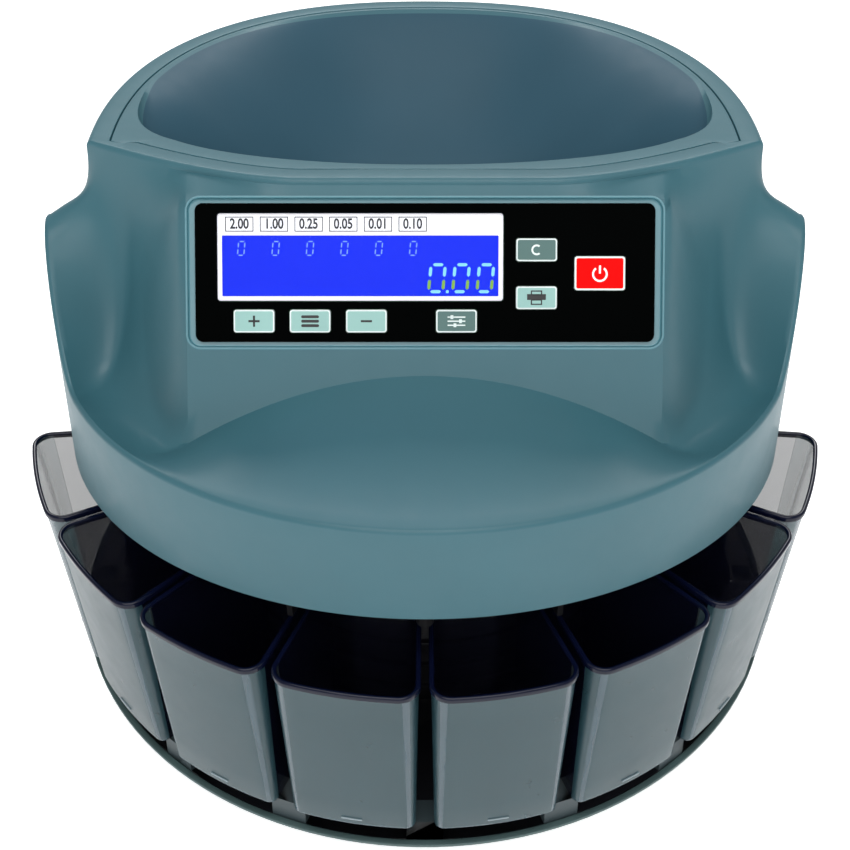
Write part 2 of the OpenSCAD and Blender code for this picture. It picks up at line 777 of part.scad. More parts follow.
// Keys: [name, x, y, size]
key_size = [16.1, 9];
power_size = [20, 13.4];
keys = [
    ["plus", -67.4, -19, key_size],
    ["batch", -45.3, -19, key_size],
    ["minus", -23.1, -19, key_size],
    ["set", 12.4, -19, key_size],
    ["clear", 43.9, 9, key_size],
    ["print", 43.9, -9.8, key_size],
    ["power", 68.8, -0.2, power_size]
];
display_x = -25.5;
display_y = 6.15;
display_size = [113, 34.7];
lcd_size = [116, 36.4];
key_gap = 0.35;
key_proud = 0.7;
key_depth = 4.2;
plate_front = 0.3;
board_front = -9.4;
board_t = 1.6;

module control_panel() {
    color(black) place() on_facet() difference() {
        translate([0, 0, -recess_depth]) rounded_plate(panel_w, panel_h, 3, recess_depth + plate_front);
        translate([display_x, display_y, -5]) rounded_plate(display_size[0] + 0.4, display_size[1] + 0.4, 1.5, 10);
        for (k = keys) translate([k[1], k[2], -5])
            rounded_plate(k[3][0] + 2 * key_gap, k[3][1] + 2 * key_gap, 1.2, 10);
    }
}

module key(name) {
    k = [for (e = keys) if (e[0] == name) e][0];
    colour = name == "power" ? [0.95, 0.1, 0.1] : (name == "set" || name == "clear") ? [0.4, 0.5, 0.5] : [0.7, 0.8, 0.77];
    color(colour) place() on_facet() translate([k[1], k[2], -key_depth])
        rounded_plate(k[3][0], k[3][1], 1, key_depth + key_proud);
}

module lcd_module() {
    depth = 6;
    color([0.9, 0.92, 0.95]) place() on_facet() translate([display_x, display_y, -1.4 - depth])
        difference() {
            rounded_plate(lcd_size[0], lcd_size[1], 1, depth);
            translate([0, -3.4, depth - 0.6]) rounded_plate(109, 23.9, 0.5, 2);
        }
}

module display_lens() {
    color([0.2, 0.3, 0.9, 0.5]) place() on_facet() translate([display_x, display_y, -1.2])
        rounded_plate(display_size[0], display_size[1], 1.3, 1.3);
}

module key_board() {
    color(board_green) place() on_facet() {
        translate([-82, -27, board_front - board_t]) cube([164, 50, board_t]);
        for (k = keys) translate([k[1], k[2], board_front])
            cylinder(r = 3, h = -board_front - key_depth - key_travel - 0.3, $fn = 32);
        for (x = [-50, 5]) translate([x, display_y - 4, board_front]) cube([6, 8, 1.9]);
    }
}

// Flat ribbon from the key board down behind the facet
module ribbon_cable() {
    color([0.6, 0.6, 0.62]) place() on_facet()
        translate([20, -20, board_front - board_t - 1]) cube([24, 36, 0.9]);
}

// ---------------------------------------------------------------- electronics

module main_board() {
    standoff = 6;
    parts_z = standoff + board_t;
    color(board_green) place() translate([0, 0, platform_z]) {
        translate([42, 90, standoff]) cube([46, 24, board_t]);
        for (x = [46, 84]) for (y = [94, 110]) translate([x, y, 0]) cylinder(r = 2.5, h = standoff, $fn = 32);
        translate([50, 96, parts_z]) cube([14, 12, 3]);
        for (x = [70, 79]) translate([x, 102, parts_z]) cylinder(r = 3, h = 12, $fn = 32);
    }
}

module transformer() {
    color(steel) place() {
        translate([-84, 90, platform_z]) cube([38, 26, 34]);
        translate([-90, 96, platform_z]) cube([50, 14, 3]);
        translate([-79, 86.5, platform_z + 6]) cube([28, 33, 22]);
    }
}

base_tray();
cup_platform();
rubber_feet();
base_screws();
inner_column();
for (i = [1:cups])
    coin_cup(i);
rear_housing();
rear_panel();
power_inlet();
switch_frame();
power_switch();
printer_port();
drive_plate();
bearing_housing();
spindle_bearings();
spindle();
spindle_pulley();
motor();
motor_shaft();
motor_pulley();
drive_belt();
coin_chutes();
sorting_deck();
coin_sensors();
deck_screws();
sorter_rotor();
rotor_pads();
feed_disc();
disc_nut();
hopper_bowl();
upper_housing();
housing_screws();
control_panel();
lcd_module();
display_lens();
key_board();
ribbon_cable();
for (k = keys)
    key(k[0]);
main_board();
transformer();
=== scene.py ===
"""Looks for a coin sorting machine: moulded shells, cups, control panel and finishes on the CAD frame.

Lengths are millimetres about the machine's vertical axis (+X right, -Y front) until a mesh is made.
"""
import json
from math import asin, cos, degrees, hypot, pi, radians, sin, sqrt, tan

import bmesh
import bpy
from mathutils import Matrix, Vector


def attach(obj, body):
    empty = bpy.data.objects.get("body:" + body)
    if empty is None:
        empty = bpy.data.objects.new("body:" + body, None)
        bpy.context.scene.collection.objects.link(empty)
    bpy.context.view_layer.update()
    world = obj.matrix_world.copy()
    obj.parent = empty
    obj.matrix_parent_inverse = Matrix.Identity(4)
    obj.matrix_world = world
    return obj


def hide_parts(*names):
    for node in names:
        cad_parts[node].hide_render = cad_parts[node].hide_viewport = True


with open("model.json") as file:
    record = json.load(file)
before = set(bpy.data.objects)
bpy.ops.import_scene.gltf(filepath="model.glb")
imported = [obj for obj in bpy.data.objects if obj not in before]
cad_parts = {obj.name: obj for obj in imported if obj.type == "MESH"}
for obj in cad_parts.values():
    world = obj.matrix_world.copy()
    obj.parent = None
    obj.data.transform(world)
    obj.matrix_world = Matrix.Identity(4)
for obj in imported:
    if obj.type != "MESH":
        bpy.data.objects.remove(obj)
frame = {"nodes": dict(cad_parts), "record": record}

MM = 0.001
AXIS_Y = 9.5  # the machine's axis in the row frame
CUPS = 8
PITCH = 21.2  # degrees from cup to cup

# Skirt, tower and rim
DRUM_R = 158.5
SHELL = 2.6
TOWER_HALF = 138.5
FRONT_DEPTH = 36  # how far the front wall stands ahead of the tower's sides
FRONT_FLAT = 50  # half width over which it is flat
FRONT_POWER = 1.6
REAR_POWER = 2.3
TOP_Z = 252.6
TOP_SLOPE = 0.105
SKIRT_Z = 110.3
SKIRT_SLOPE = 0.167
EDGE_ROUND = 2.5
RIM_WIDTH = 9.6

# Lip of the skirt and the wings, with azimuths in degrees from the front
LIP_Z = 160
LIP_SLOPE = 0.14
LIP_ROUND = 2
WING_RISE = 60
WING_START = 66
WING_PEAK = 88
WING_FALL = 55

# Slanted facet: its own frame's middle, and the shelf in front of it
FACET_HALF = 94
FACET_ANGLE = radians(55)
FACET_Y = -56.35
FACET_Z = 226.3
FACET_TOP = 250
FOOT_Z = 193
FOOT_DROP = 21  # how far the foot drops at FOOT_SPAN to the side
FOOT_SPAN = 92
SHELF_POWER = 1.8
SHELF_SHARE = 0.375  # share of a column's steps up to the foot
FACET_SHARE = 0.875  # share up to the facet's top
TIP_WALL = 0.07  # width of the wall beside the facet, as a share of the wing, at its tip
TOP_WALL = 0.4  # and at its top

# Control panel: width, height and corner, then the recess's depth; keys and display from its middle
RECESS = (187, 58.6, 5, 1.2)
WINDOW = (174, 50, 2)
PLATE = (181, 54.5, 3)
KEY_SIZE = (16.1, 9)
KEYS = {
    "plus": (-67.4, -19, KEY_SIZE, "light"),
    "batch": (-45.3, -19, KEY_SIZE, "light"),
    "minus": (-23.1, -19, KEY_SIZE, "light"),
    "set": (12.4, -19, KEY_SIZE, "dark"),
    "clear": (43.9, 9, KEY_SIZE, "dark"),
    "print": (43.9, -9.8, KEY_SIZE, "light"),
    "power": (68.8, -0.2, (20, 13.4), "red"),
}
DISPLAY = (-25.5, 6.15, 113, 34.7)

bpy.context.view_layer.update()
scene = bpy.context.scene


# ---------------------------------------------------------------- small maths

def mix(a, b, t):
    return a + (b - a) * t


def smooth(a, b, v):
    t = min(1, max(0, (v - a) / (b - a)))
    return t * t * (3 - 2 * t)


def bezier(a, b, c, d, t):
    return (1 - t) ** 3 * a + 3 * (1 - t) ** 2 * t * b + 3 * (1 - t) * t * t * c + t ** 3 * d


def quarter(count):
    """Angles of a quarter turn, both ends included."""
    return [pi / 2 * i / count for i in range(count + 1)]


# ---------------------------------------------------------------- materials

def srgb(r, g, b):
    """A colour from 0-255 screen values to linear light."""
    lin = [c / 255 / 12.92 if c <= 10 else ((c / 255 + 0.055) / 1.055) ** 2.4 for c in (r, g, b)]
    return (*lin, 1)


def finish(name, colour, rough=0.4, metal=0.0, grain=(900, 0.04), vary=0.05, rough_vary=0.06, **sockets):
    """Principled material whose colour and roughness drift slowly and whose surface has a fine grain."""
    m = bpy.data.materials.new(name)
    m.use_nodes = True
    tree = m.node_tree
    shader = tree.nodes["Principled BSDF"]
    shader.inputs["Metallic"].default_value = metal
    for socket, value in sockets.items():
        shader.inputs[socket.replace("_", " ")].default_value = value
    coords = tree.nodes.new("ShaderNodeTexCoord")

    def noise(scale, detail):
        n = tree.nodes.new("ShaderNodeTexNoise")
        n.inputs["Scale"].default_value = scale
        n.inputs["Detail"].default_value = detail
        tree.links.new(coords.outputs["Object"], n.inputs["Vector"])
        return n

    drift = noise(28, 3)
    ramp = tree.nodes.new("ShaderNodeValToRGB")
    ramp.color_ramp.elements[0].position = 0.3
    ramp.color_ramp.elements[1].position = 0.7
    ramp.color_ramp.elements[0].color = tuple(c * (1 - vary) for c in colour[:3]) + (1,)
    ramp.color_ramp.elements[1].color = tuple(min(1, c * (1 + vary)) for c in colour[:3]) + (1,)
    tree.links.new(drift.outputs["Fac"], ramp.inputs["Fac"])
    tree.links.new(ramp.outputs["Color"], shader.inputs["Base Color"])
    patches = noise(120, 4)
    span = tree.nodes.new("ShaderNodeMapRange")
    span.inputs["To Min"].default_value = max(0.02, rough - rough_vary)
    span.inputs["To Max"].default_value = min(1, rough + rough_vary)
    tree.links.new(patches.outputs["Fac"], span.inputs["Value"])
    tree.links.new(span.outputs["Result"], shader.inputs["Roughness"])
    bump = tree.nodes.new("ShaderNodeBump")
    bump.inputs["Strength"].default_value = grain[1]
    bump.inputs["Distance"].default_value = 0.0004
    tree.links.new(noise(grain[0], 2).outputs["Fac"], bump.inputs["Height"])
    tree.links.new(bump.outputs["Normal"], shader.inputs["Normal"])
    return m


def brushed(name, colour, rough, stretch):
    """Metal with fine lines along one axis."""
    m = finish(name, colour, rough, metal=1.0, grain=(300, 0.0), vary=0.08)
    tree = m.node_tree
    grain = tree.nodes.new("ShaderNodeTexNoise")
    grain.inputs["Scale"].default_value = 500
    mapping = tree.nodes.new("ShaderNodeMapping")
    mapping.inputs["Scale"].default_value = stretch
    coords = next(n for n in tree.nodes if n.type == "TEX_COORD")
    bump = next(n for n in tree.nodes if n.type == "BUMP")
    bump.inputs["Strength"].default_value = 0.12
    tree.links.new(coords.outputs["Object"], mapping.inputs["Vector"])
    tree.links.new(mapping.outputs["Vector"], grain.inputs["Vector"])
    tree.links.new(grain.outputs["Fac"], bump.inputs["Height"])
    return m


MATERIALS = {
    "housing": finish("housing", srgb(52, 98, 109), 0.5, grain=(1400, 0.05), vary=0.03,
                      Specular_IOR_Level=0.4, Coat_Weight=0.15, Coat_Roughness=0.22),
    # Darker copy of the housing plastic for the hopper bowl's inner walls: painted shade.
    "bowl": finish("bowl", srgb(38, 76, 93), 0.5, grain=(1400, 0.05), vary=0.03, Specular_IOR_Level=0.3),
    # Lighter, glossier copy of the housing plastic for the recess edge and floor: painted highlight.
    "bezel": finish("bezel", srgb(72, 126, 138), 0.35, grain=(1400, 0.04), vary=0.03, Coat_Weight=0.4,
                    Coat_Roughness=0.1),
    "tray_grey": finish("tray_grey", srgb(70, 92, 92), 0.5, grain=(1400, 0.05), vary=0.03),
    "post_grey": finish("post_grey", srgb(58, 70, 74), 0.45, grain=(1200, 0.05)),
    "deep_black": finish("deep_black", srgb(10, 10, 13), 0.5, grain=(1200, 0.05), Specular_IOR_Level=0.1),
    "smoke_plastic": finish("smoke_plastic", srgb(14, 16, 34), 0.1, grain=(500, 0.01), Alpha=0.47),
    "cup_front": finish("cup_front", srgb(46, 76, 84), 0.3, grain=(1400, 0.02), Alpha=0.74, IOR=1.52),
    # Pale copy of the cup plastic for the inside of the front wall: painted light inside the cup.
    "cup_inner": finish("cup_inner", srgb(112, 128, 131), 0.25, grain=(500, 0.01), Alpha=0.2),
    "cup_mark": finish("cup_mark", srgb(135, 150, 156), 0.4),
    # Lighter copy of the cup plastic for the corner turns and the foot of the front: painted highlight
    # streaks.
    "cup_corner": finish("cup_corner", srgb(78, 98, 108), 0.2, grain=(1400, 0.02), Alpha=0.8),
    "cup_edge": finish("cup_edge", srgb(8, 13, 36), 0.07, grain=(500, 0.02), vary=0.02,
                       Specular_IOR_Level=0.25),
    "black_plastic": finish("black_plastic", srgb(22, 23, 28), 0.32, grain=(1200, 0.06)),
    "rubber": finish("rubber", srgb(30, 30, 31), 0.75, grain=(1500, 0.2)),
    "belt_rubber": finish("belt_rubber", srgb(28, 28, 30), 0.65, grain=(900, 0.2)),
    "pad_rubber": finish("pad_rubber", srgb(120, 62, 40), 0.7, grain=(900, 0.2)),
    "steel": brushed("steel", srgb(190, 192, 196), 0.3, (1, 1, 12)),
    "aluminium": brushed("aluminium", srgb(205, 206, 210), 0.26, (12, 1, 1)),
    "motor_metal": brushed("motor_metal", srgb(150, 151, 155), 0.4, (1, 1, 8)),
    "board": finish("board", srgb(24, 92, 54), 0.3, grain=(1200, 0.05), vary=0.2),
    "ribbon": finish("ribbon", srgb(175, 176, 180), 0.45, grain=(900, 0.05)),
    "panel_black": finish("panel_black", srgb(4, 5, 5), 0.22, grain=(1400, 0.03), Specular_IOR_Level=0),
    "lcd_white": finish("lcd_white", srgb(246, 247, 252), 0.35, grain=(900, 0.02), vary=0.01,
                        Emission_Color=srgb(246, 247, 252), Emission_Strength=0.3),
    "lcd_blue": finish("lcd_blue", srgb(4, 16, 120), 0.3, grain=(900, 0.02), vary=0.03,
                       Specular_IOR_Level=0.05, Emission_Color=srgb(22, 50, 255), Emission_Strength=0.85),
    "digit_pale": finish("digit_pale", srgb(120, 200, 245), 0.4, Emission_Color=srgb(120, 200, 245),
                         Emission_Strength=0.35),
    "digit_faint": finish("digit_faint", srgb(95, 135, 255), 0.4, Emission_Color=srgb(95, 135, 255),
                          Emission_Strength=0.5),
    "digit_green": finish("digit_green", srgb(110, 160, 40), 0.4, Emission_Color=srgb(110, 160, 40),
                          Emission_Strength=0.3),
    "lens": finish("lens", srgb(60, 70, 110), 0.06, grain=(300, 0.01), Alpha=0.04, Specular_IOR_Level=0.1),
    "key_light": finish("key_light", srgb(150, 192, 186), 0.3, grain=(1400, 0.04), Specular_IOR_Level=0.2),
    "key_dark": finish("key_dark", srgb(84, 114, 111), 0.3, grain=(1400, 0.04), Specular_IOR_Level=0.2),
    "key_red": finish("key_red", srgb(250, 2, 2), 0.4, grain=(1400, 0.04), Specular_IOR_Level=0.05),
    "key_border": finish("key_border", srgb(226, 238, 236), 0.3, grain=(1400, 0.03)),
    "ink_black": finish("ink_black", srgb(14, 15, 17), 0.4),
    "ink_white": finish("ink_white", srgb(240, 244, 244), 0.4),
    "switch_red": finish("switch_red", srgb(170, 20, 18), 0.2, grain=(1000, 0.03)),
}


# ---------------------------------------------------------------- mesh helpers

def to_row(p):
    """Point about the machine axis in mm to the row frame in metres."""
    return (p[0] * MM, (p[1] + AXIS_Y) * MM, p[2] * MM)


def make(name, points, faces, materials, slots=None, sharp=32, body="root", slot="housing"):
    """Object from a point and face list, riding on a body; slots gives each face its material."""
    mesh = bpy.data.meshes.new(name)
    mesh.from_pydata([to_row(p) for p in points], [], faces)
    for m in materials:
        mesh.materials.append(MATERIALS[m])
    if slots:
        mesh.polygons.foreach_set("material_index", slots)
    bm = bmesh.new()
    bm.from_mesh(mesh)
    bmesh.ops.remove_doubles(bm, verts=bm.verts, dist=1e-6)
    bmesh.ops.recalc_face_normals(bm, faces=bm.faces)
    bm.to_mesh(mesh)
    bm.free()
    mesh.shade_smooth()
    mesh.set_sharp_from_angle(angle=radians(sharp))
    obj = bpy.data.objects.new(name, mesh)
    scene.collection.objects.link(obj)
    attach(obj, body)
    return obj


def loft(rings, closed=False, caps=True):
    """Faces through equal rings of points; closed joins the last ring to the first."""
    n = len(rings[0])
    points = [p for ring in rings for p in ring]
    faces = []
    for i in range(len(rings) if closed else len(rings) - 1):
        a, b = i * n, (i + 1) % len(rings) * n
        faces += [(a + j, a + (j + 1) % n, b + (j + 1) % n, b + j) for j in range(n)]
    if caps and not closed:
        faces.append(tuple(range(n))[::-1])
        faces.append(tuple(range(len(points) - n, len(points))))
    return points, faces


def rounded_rect(w, h, r, x=0.0, y=0.0, steps=6):
    """Corner-rounded rectangle, counterclockwise."""
    outline = []
    for side_x, side_y, start in ((1, 1, 0), (-1, 1, 90), (-1, -1, 180), (1, -1, 270)):
        cx, cy = x + side_x * (w / 2 - r), y + side_y * (h / 2 - r)
        turns = [radians(start + 90 * i / steps) for i in range(steps + 1)]
        outline += [(cx + r * cos(a), cy + r * sin(a)) for a in turns]
    return outline


def on_facet(x, y, z):
    """Point of the slanted facet's own frame, z along its outward normal."""
    return (
        x,
        FACET_Y + y * cos(FACET_ANGLE) - z * sin(FACET_ANGLE),
        FACET_Z + y * sin(FACET_ANGLE) + z * cos(FACET_ANGLE),
    )


def facet_pad(name, outline, z_low, z_high, materials, edge=0.25, **options):
    """Plate on the facet with a rounded front edge; outline(inset) gives its outline."""
    levels = [(0, z_low)] + [(edge * (1 - cos(a)), z_high - edge * (1 - sin(a))) for a in quarter(4)]
    rings = [[on_facet(x, y, z) for x, y in outline(inset)] for inset, z in levels]
    return make(name, *loft(rings), materials, **options)


def cut(obj, cutter):
    """Take the cutter's shape out of the object."""
    modifier = obj.modifiers.new("cut", "BOOLEAN")
    modifier.object = cutter
    modifier.operation = "DIFFERENCE"
    modifier.solver = "EXACT"
    graph = bpy.context.evaluated_depsgraph_get()
    result = bpy.data.meshes.new_from_object(obj.evaluated_get(graph))
    obj.modifiers.clear()
    obj.data = result
    bpy.data.objects.remove(cutter)


def softened(node, width, material):
    """Copy of a CAD node with its hard edges rounded, standing for the node."""
    source = frame["nodes"][node]
    obj = source.copy()
    obj.data = source.data.copy()
    obj.name = node + "_soft"
    for key in list(obj.keys()):
        del obj[key]
    obj.parent = None
    scene.collection.objects.link(obj)
    bm = bmesh.new()
    bm.from_mesh(obj.data)
    bmesh.ops.remove_doubles(bm, verts=bm.verts, dist=2e-6)
    bmesh.ops.dissolve_limit(bm, angle_limit=radians(1), verts=bm.verts, edges=bm.edges)
    hard = [e for e in bm.edges if len(e.link_faces) == 2 and e.calc_face_angle() > radians(40)]
    bmesh.ops.bevel(bm, geom=hard, offset=width * MM, segments=3, profile=0.5, affect="EDGES",
                    clamp_overlap=True, loop_slide=False)
    bm.to_mesh(obj.data)
    bm.free()
    obj.data.shade_smooth()
    obj.data.set_sharp_from_angle(angle=radians(38))
    if material:
        obj.data.materials.clear()
        obj.data.materials.append(MATERIALS[material])
    for body, members in frame["record"]["behaviour"]["bodies"].items():
        if node in members:
            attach(obj, body)
    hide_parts(node)
    return obj


# ---------------------------------------------------------------- upper housing

def skirt_low(y):
    """Height of the skirt's lower edge."""
    return SKIRT_Z - SKIRT_SLOPE * y


def top_at(y):
    """Height of the sloping top face."""
    return TOP_Z - TOP_SLOPE * y


def facet_at(z):
    """Place of the slanted facet, front to back, at a height."""
    return FACET_Y + (z - FACET_Z) / tan(FACET_ANGLE)


def lip_at(azimuth):
    """Height of the skirt's lip: low in front, rising into the wings at the sides."""
    fall = min(1, max(0, (azimuth - WING_PEAK) / WING_FALL))
    wing = WING_RISE * smooth(WING_START, WING_PEAK, azimuth) * (1 - fall) ** 1.2
    return LIP_Z + LIP_SLOPE * DRUM_R * cos(radians(azimuth)) + wing


def front_y(x):
    """Front wall of the tower: flat in the middle, swept back towards the sides."""
    return FRONT_DEPTH * ((max(0, x - FRONT_FLAT) / (TOWER_HALF - FRONT_FLAT)) ** FRONT_POWER - 1)


def front_dir(x):
    """Outward direction of the front wall."""
    run = TOWER_HALF - FRONT_FLAT
    slope = FRONT_DEPTH * FRONT_POWER / run * (max(0, x - FRONT_FLAT) / run) ** (FRONT_POWER - 1)
    return Vector((slope, -1)).normalized()


def rear_radius(azimuth):
    """Distance of the tower's rounded back from the axis."""
    a = radians(azimuth)
    across, along = abs(sin(a)) / TOWER_HALF, abs(cos(a)) / (DRUM_R - 0.5)
    return (across ** REAR_POWER + along ** REAR_POWER) ** (-1 / REAR_POWER)


FACET_EDGE = (degrees(asin(FACET_HALF / DRUM_R)), None, None, "facet", FACET_HALF)


def shell_columns(facet, corner, side):
    """Columns round half of the shell: azimuth of the lip, tower point, outward direction, part, share."""
    columns = []
    for i in range(facet + 1):
        x = FACET_HALF * i / facet
        columns.append((degrees(asin(x / DRUM_R)), Vector((x, front_y(x))), front_dir(x), "facet", x))
    for i in range(1, corner + 1):
        s = i / corner
        x = mix(FACET_HALF, TOWER_HALF, s)
        out = front_dir(x).lerp(Vector((1, 0)), smooth(0.55, 1, s)).normalized()
        columns.append((mix(FACET_EDGE[0], 90, s), Vector((x, front_y(x))), out, "corner", s))
    for i in range(1, side + 1):
        a = 90 + 90 * i / side
        out = Vector((sin(radians(a)), -cos(radians(a))))
        columns.append((a, out * rear_radius(a), out, "side", a))
    return columns


def lip_point(column, inset):
    """Plan place of a column at the skirt."""
    r = DRUM_R - inset
    if column[3] == "facet":
        return Vector((column[4], -sqrt(r * r - column[4] ** 2)))
    a = radians(column[0])
    return Vector((r * sin(a), -r * cos(a)))


def tower_point(column, inset):
    """Plan place of a column at the tower's wall."""
    return column[1] - inset * column[2]


def facet_foot(x, inset):
    """Foot of the facet at a place across, as (y, z): an arc, highest in the middle."""
    z = FOOT_Z - FOOT_DROP * (x / FOOT_SPAN) ** 2 - inset
    return facet_at(z) + inset / sin(FACET_ANGLE), z


def shelf_height(lip_z, foot_z, t):
    """Dished shelf from the lip back to the facet's foot."""
    return foot_z + (lip_z - foot_z) * (1 - t ** SHELF_POWER)


def facet_profile(column, u, inset):
    """Dished shelf up to the facet's foot, then the flat facet."""
    x = column[4]
    foot_y, foot_z = facet_foot(x, inset)
    t = u / SHELF_SHARE
    if t < 1:
        lip_y = lip_point(column, inset + LIP_ROUND).y
        return (x, mix(lip_y, foot_y, t), shelf_height(lip_at(column[0]) - inset, foot_z, t))
    z = mix(foot_z, FACET_TOP - inset, min(1, (u - SHELF_SHARE) / (FACET_SHARE - SHELF_SHARE)))
    return (x, facet_at(z) + inset / sin(FACET_ANGLE), z)


def facet_height(y, inset):
    """Height of the shelf, the facet and the roof above it along the facet's side edge."""
    lip_y = lip_point(FACET_EDGE, inset + LIP_ROUND).y
    foot_y, foot_z = facet_foot(FACET_HALF, inset)
    if y < foot_y:
        return shelf_height(lip_at(FACET_EDGE[0]) - inset, foot_z, max(0, (y - lip_y) / (foot_y - lip_y)))
    top_y = foot_y + (FACET_TOP - inset - foot_z) / tan(FACET_ANGLE)
    edge_y = front_y(FACET_HALF) + inset
    roof = mix(FACET_TOP - inset, top_at(edge_y) - EDGE_ROUND, (y - top_y) / (edge_y - top_y))
    return min(roof, foot_z + (y - foot_y) * tan(FACET_ANGLE)) if y < top_y else roof


def wall_share(s, y, inset):
    """How far the wall beside the facet has run into the wing: narrow at the facet's tip, wide at its top."""
    foot_y = facet_foot(FACET_HALF, inset)[0]
    if y < foot_y:
        width = mix(0.5, TIP_WALL, smooth(foot_y - 24, foot_y, y))
    else:
        width = mix(TIP_WALL, TOP_WALL, (y - foot_y) / 55)
    return 1 - max(0, 1 - s / width) ** 1.6


def corner_profile(column, u, inset):
    """Sweep from the lip up to the edge of the tower; beside the facet a wall joins it to the facet.

    Near the facet the rows of points are lined up with the facet's foot.
    """
    corner = column[3] == "corner"
    s = column[4] if corner else 1
    lip = lip_point(column, inset + LIP_ROUND)
    top = tower_point(column, inset)
    gap = (lip - top).length
    inward = Vector((0, 1)).lerp(-lip.normalized(), s).normalized()
    reach = gap * (mix(0.5, 0.55, s) if corner else 0.55)
    rise = -28 + 38 * s * s if corner else gap / 2
    p0 = Vector((lip.x, lip.y, lip_at(column[0]) - inset))
    p1 = Vector((lip.x + inward.x * reach, lip.y + inward.y * reach, p0.z + rise))
    p3 = Vector((top.x, top.y, top_at(top.y) - EDGE_ROUND))
    p2 = p3 + Vector((4 * (1 - s), -28.6 * (1 - s), mix(-40, p0.z + 0.3 * gap - p3.z, s)))
    if not corner:
        return tuple(bezier(p0, p1, p2, p3, u))
    foot, step = 0.5, 0.25
    foot_y = facet_foot(FACET_HALF, inset)[0]
    for _ in range(16):
        foot += step if bezier(p0, p1, p2, p3, foot).y < foot_y else -step
        step /= 2
    if u < SHELF_SHARE:
        lined_up = foot * u / SHELF_SHARE
    else:
        lined_up = mix(foot, 1, (u - SHELF_SHARE) / (1 - SHELF_SHARE))
    p = bezier(p0, p1, p2, p3, mix(lined_up, u, smooth(0.15, 0.4, s)))
    return (p.x, p.y, mix(min(facet_height(p.y, inset), p3.z), p.z, wall_share(s, p.y, inset)))


def shell_profile(column, steps, inset):
    """Points up one column of the outer skin, from the lower edge to the edge of the top face."""
    low, lip = skirt_low(lip_point(column, inset).y), lip_at(column[0]) - inset
    points = []
    for k in range(5):
        p = lip_point(column, inset)
        points.append((p.x, p.y, mix(low, lip - LIP_ROUND, k / 4)))
    for a in quarter(6)[1:]:
        p = lip_point(column, inset + LIP_ROUND * (1 - cos(a)))
        points.append((p.x, p.y, lip - LIP_ROUND * (1 - sin(a))))
    profile = facet_profile if column[3] == "facet" else corner_profile
    last = int(steps * FACET_SHARE)
    points += [tuple(profile(column, k / steps, inset)) for k in range(1, last + 1)]
    start = Vector(points[-1])
    edge = tower_point(column, inset)
    end = Vector((edge.x, edge.y, top_at(edge.y) - EDGE_ROUND))
    for k in range(last + 1, steps + 1):
        if column[3] == "facet":
            points.append(tuple(start.lerp(end, (k - last) / (steps - last))))
        else:
            points.append(tuple(corner_profile(column, k / steps, inset)))
    return points


def around(columns_of_points):
    """Rings right round from the columns of the right half."""
    count = len(columns_of_points[0])
    left = [[(-p[0], p[1], p[2]) for p in column] for column in columns_of_points[-2:0:-1]]
    whole = columns_of_points + left
    return [[tuple(column[k]) for column in whole] for k in range(count)]


RIM_INSIDE = (
    (RIM_WIDTH - 0.5, 0), (RIM_WIDTH - 0.15, 0.15), (RIM_WIDTH, 0.5), (RIM_WIDTH, 5), (SHELL + 2, 9),
)


def housing_shell():
    """The moulded housing: skirt, shelf, facet, wings, tower and rim, with a finer skin than the CAD one."""
    steps = 32
    outer = []
    for c in shell_columns(20, 40, 60):
        points = shell_profile(c, steps, 0)
        for a in quarter(5)[1:]:
            p = tower_point(c, EDGE_ROUND * (1 - cos(a)))
            points.append((p.x, p.y, top_at(p.y) - EDGE_ROUND * (1 - sin(a))))
        for inset, drop in RIM_INSIDE:
            p = tower_point(c, inset)
            points.append((p.x, p.y, top_at(p.y) - drop))
        inner = shell_profile(c, 16, SHELL)[:-2]
        outer.append(points + inner[::-1])
    points, faces = loft(around(outer), closed=True)
    shell = make("housing_shell", points, faces, ["housing"])
    for w, h, r, low in ((*RECESS[:3], -RECESS[3]), (*WINDOW, -12)):
        rings = [[on_facet(x, y, z) for x, y in rounded_rect(w, h, r, steps=10)] for z in (low, 8)]
        cutter = make("cutter", *loft(rings), ["housing"])
        cut(shell, cutter)
    shell.data.shade_smooth()
    shell.data.set_sharp_from_angle(angle=radians(32))
    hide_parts("upper_housing")


def recess_edge():
    """Soft edge round the recess of the control panel, running over the recess floor to the plate, in a
    lighter, glossier copy of the housing plastic as a painted highlight.
    """
    w, h, r, depth = RECESS
    levels = [(-0.9, 0.0), (-0.5, 0.06), (-0.2, 0.04), (0, -0.1), (0.12, -0.4), (0.2, -0.75), (0.45, -1.05)]
    levels += [(0.9, 0.06 - depth), (1.6, 0.01 - depth), (2.8, 0.01 - depth)]
    levels += [(2.8, -depth - 0.3), (-0.9, -depth - 0.3)]
    rings = []
    for inset, z in levels:
        outline = rounded_rect(w - 2 * inset, h - 2 * inset, r - inset, steps=10)
        rings.append([on_facet(x, y, z) for x, y in outline])
    make("recess_edge", *loft(rings, closed=True), ["bezel"], sharp=60)


# ---------------------------------------------------------------- hopper bowl

BOWL = Vector((0, 28))
BOWL_FLOOR_R = 51
GATE_Y = -17
GATE_RISE = 7
BOWL_LOW = 187
MOUTH_ROUND = 2.2
MOUTH_HALF = 116
MOUTH_FRONT = 20


def floor_reach(d):
    """Distance from the bowl's middle to the edge of its floor opening, cut straight in front."""
    b = BOWL.dot(d)
    r = -b + sqrt(b * b - BOWL.length_squared + BOWL_FLOOR_R * BOWL_FLOOR_R)
    return min(r, (GATE_Y - BOWL.y) / d.y) if d.y < 0 else r


def floor_height(d):
    """Height of the opening's edge: low round the disc, raised at the straight front."""
    return BOWL_LOW + GATE_RISE * smooth(GATE_Y + 9, GATE_Y + 2.5, BOWL.y + d.y * floor_reach(d))


